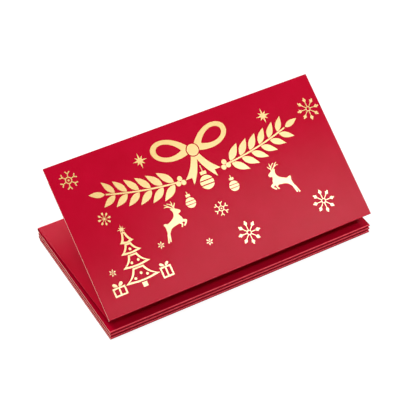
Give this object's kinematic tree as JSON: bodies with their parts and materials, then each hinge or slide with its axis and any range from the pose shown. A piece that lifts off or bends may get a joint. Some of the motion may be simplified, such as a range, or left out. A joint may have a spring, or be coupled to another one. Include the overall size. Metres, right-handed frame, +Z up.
{
  "type": "zigzag gift envelope",
  "caption": "Zigzag gift envelope of red satin card: eight hinged leaves folded like a concertina, glued pockets under the odd leaves, and a gold foil print on the raised cover.",
  "frame": {"origin": "on the table, under the middle of the base leaf", "axes": "+X along the creases, +Y from the front creases towards the back ones and the cover's free edge, +Z up"},
  "size_m": [0.17, 0.0922, 0.0668],
  "materials": {
    "satin_card": "red card with a satin film on both faces, cream at its cut edges",
    "crease_card": "the same card, scored and bent round",
    "pocket_card": "thinner red card with a satin film",
    "glue": "thin line of paper glue",
    "gold_foil": "hot-stamped foil, gold lacquer over aluminium, bright"
  },
  "bodies": {
    "base": {"base_leaf": "satin_card"},
    "leaf_seven": {"leaf_7": "satin_card", "pocket_7": "pocket_card", "glue_7": "glue", "crease_7": "crease_card"},
    "leaf_six": {"leaf_6": "satin_card", "crease_6": "crease_card"},
    "leaf_five": {"leaf_5": "satin_card", "pocket_5": "pocket_card", "glue_5": "glue", "crease_5": "crease_card"},
    "leaf_four": {"leaf_4": "satin_card", "crease_4": "crease_card"},
    "leaf_three": {"leaf_3": "satin_card", "pocket_3": "pocket_card", "glue_3": "glue", "crease_3": "crease_card"},
    "leaf_two": {"leaf_2": "satin_card", "crease_2": "crease_card"},
    "cover": {"cover_leaf": "satin_card", "cover_pocket": "pocket_card", "cover_glue": "glue", "crease_1": "crease_card", "foil_snowflakes": "gold_foil", "foil_stars": "gold_foil", "foil_deer": "gold_foil", "foil_boughs": "gold_foil", "foil_bow": "gold_foil", "foil_baubles": "gold_foil", "foil_fir_tree": "gold_foil"}
  },
  "joints": [
    {"name": "fold_7", "type": "hinge", "parent": "base", "child": "leaf_seven", "pos_m": [0, -0.045, 0.00068], "axis": [1, 0, 0], "range_deg": [0, 176], "deforming": ["crease_7"]},
    {"name": "fold_6", "type": "hinge", "parent": "leaf_seven", "child": "leaf_six", "pos_m": [0, 0.045, 0.00187], "axis": [-1, 0, 0], "range_deg": [0, 176], "deforming": ["crease_6"]},
    {"name": "fold_5", "type": "hinge", "parent": "leaf_six", "child": "leaf_five", "pos_m": [0, -0.045, 0.00308], "axis": [1, 0, 0], "range_deg": [0, 176], "deforming": ["crease_5"]},
    {"name": "fold_4", "type": "hinge", "parent": "leaf_five", "child": "leaf_four", "pos_m": [0, 0.045, 0.00428], "axis": [-1, 0, 0], "range_deg": [0, 176], "deforming": ["crease_4"]},
    {"name": "fold_3", "type": "hinge", "parent": "leaf_four", "child": "leaf_three", "pos_m": [0, -0.045, 0.00547], "axis": [1, 0, 0], "range_deg": [0, 176], "deforming": ["crease_3"]},
    {"name": "fold_2", "type": "hinge", "parent": "leaf_three", "child": "leaf_two", "pos_m": [0, 0.045, 0.00725], "axis": [-1, 0, 0], "range_deg": [-3.8, 172.2], "deforming": ["crease_2"]},
    {"name": "fold_1", "type": "hinge", "parent": "leaf_two", "child": "cover", "pos_m": [0, -0.04468, 0.01499], "axis": [1, 0, 0], "range_deg": [-38.5, 137.5], "deforming": ["crease_1"]}
  ]
}
